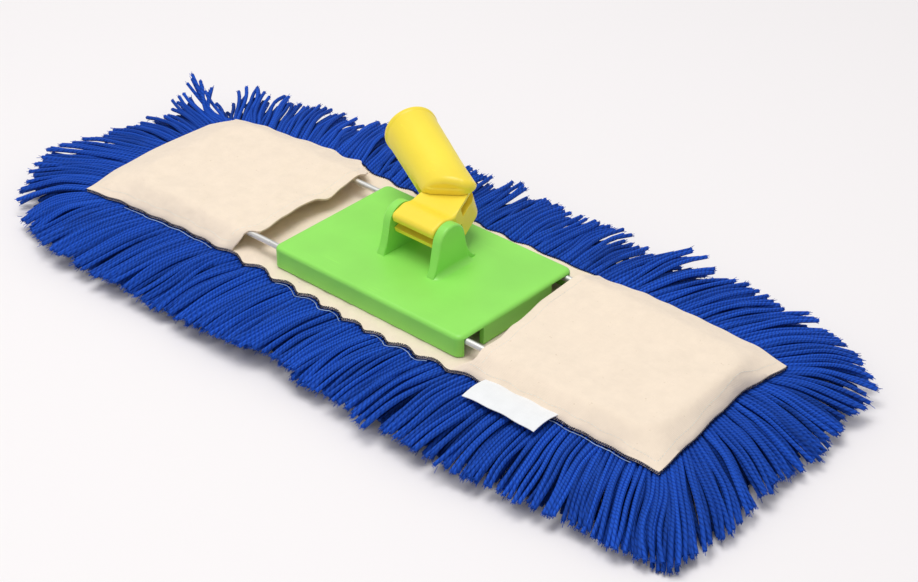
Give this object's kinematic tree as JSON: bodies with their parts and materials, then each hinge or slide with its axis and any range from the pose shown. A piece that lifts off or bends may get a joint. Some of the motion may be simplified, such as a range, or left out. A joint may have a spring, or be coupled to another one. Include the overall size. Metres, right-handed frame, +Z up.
{
  "type": "mop",
  "caption": "Flat dust mop head: moulded plate with folding wire loops and a two-axis handle swivel, in a pocketed canvas cover with a blue yarn fringe.",
  "frame": {"origin": "on the floor, under the middle of the centre plate", "axes": "+X along the mop, +Y across it to the side where the socket lies back, +Z up"},
  "size_m": [0.5665, 0.2421, 0.094],
  "materials": {
    "green_plastic": "satin moulded polypropylene",
    "yellow_plastic": "satin moulded polypropylene",
    "wire": "bright plated wire",
    "rivet_steel": "plain",
    "canvas": "unbleached cotton canvas",
    "blue_yarn": "twisted acrylic yarn",
    "label_cloth": "woven tape, blank"
  },
  "bodies": {
    "frame": {"centre_plate": "green_plastic", "backing_centre": "canvas", "yarn_rows_centre": "blue_yarn", "fringe_front_centre": "blue_yarn", "fringe_back_centre": "blue_yarn"},
    "left_wing": {"left_wire_loop": "wire", "left_pocket": "canvas", "backing_left": "canvas", "yarn_rows_left": "blue_yarn", "fringe_front_left": "blue_yarn", "fringe_back_left": "blue_yarn", "fringe_end_left": "blue_yarn"},
    "right_wing": {"right_wire_loop": "wire", "right_pocket": "canvas", "backing_right": "canvas", "yarn_rows_right": "blue_yarn", "fringe_front_right": "blue_yarn", "fringe_back_right": "blue_yarn", "fringe_end_right": "blue_yarn", "blank_label": "label_cloth"},
    "yoke": {"swivel_yoke": "yellow_plastic", "swing_rivet": "rivet_steel"},
    "socket": {"handle_socket": "yellow_plastic"}
  },
  "joints": [
    {"name": "left_fold", "type": "hinge", "parent": "frame", "child": "left_wing", "pos_m": [-0.046, 0, 0.0329], "axis": [0, -1, 0], "range_deg": [0, 65], "deforming": ["backing_centre", "yarn_rows_centre", "fringe_front_centre", "fringe_back_centre"]},
    {"name": "right_fold", "type": "hinge", "parent": "frame", "child": "right_wing", "pos_m": [0.046, 0, 0.0329], "axis": [0, 1, 0], "range_deg": [0, 65], "deforming": ["backing_centre", "yarn_rows_centre", "fringe_front_centre", "fringe_back_centre"]},
    {"name": "yoke_tilt", "type": "hinge", "parent": "frame", "child": "yoke", "pos_m": [0, 0.002, 0.0559], "axis": [1, 0, 0], "range_deg": [0, 144]},
    {"name": "socket_swing", "type": "hinge", "parent": "yoke", "child": "socket", "pos_m": [0, 0.02675, 0.0671], "axis": [0, -0.309, 0.9511], "range_deg": [-124.6, 0]}
  ]
}
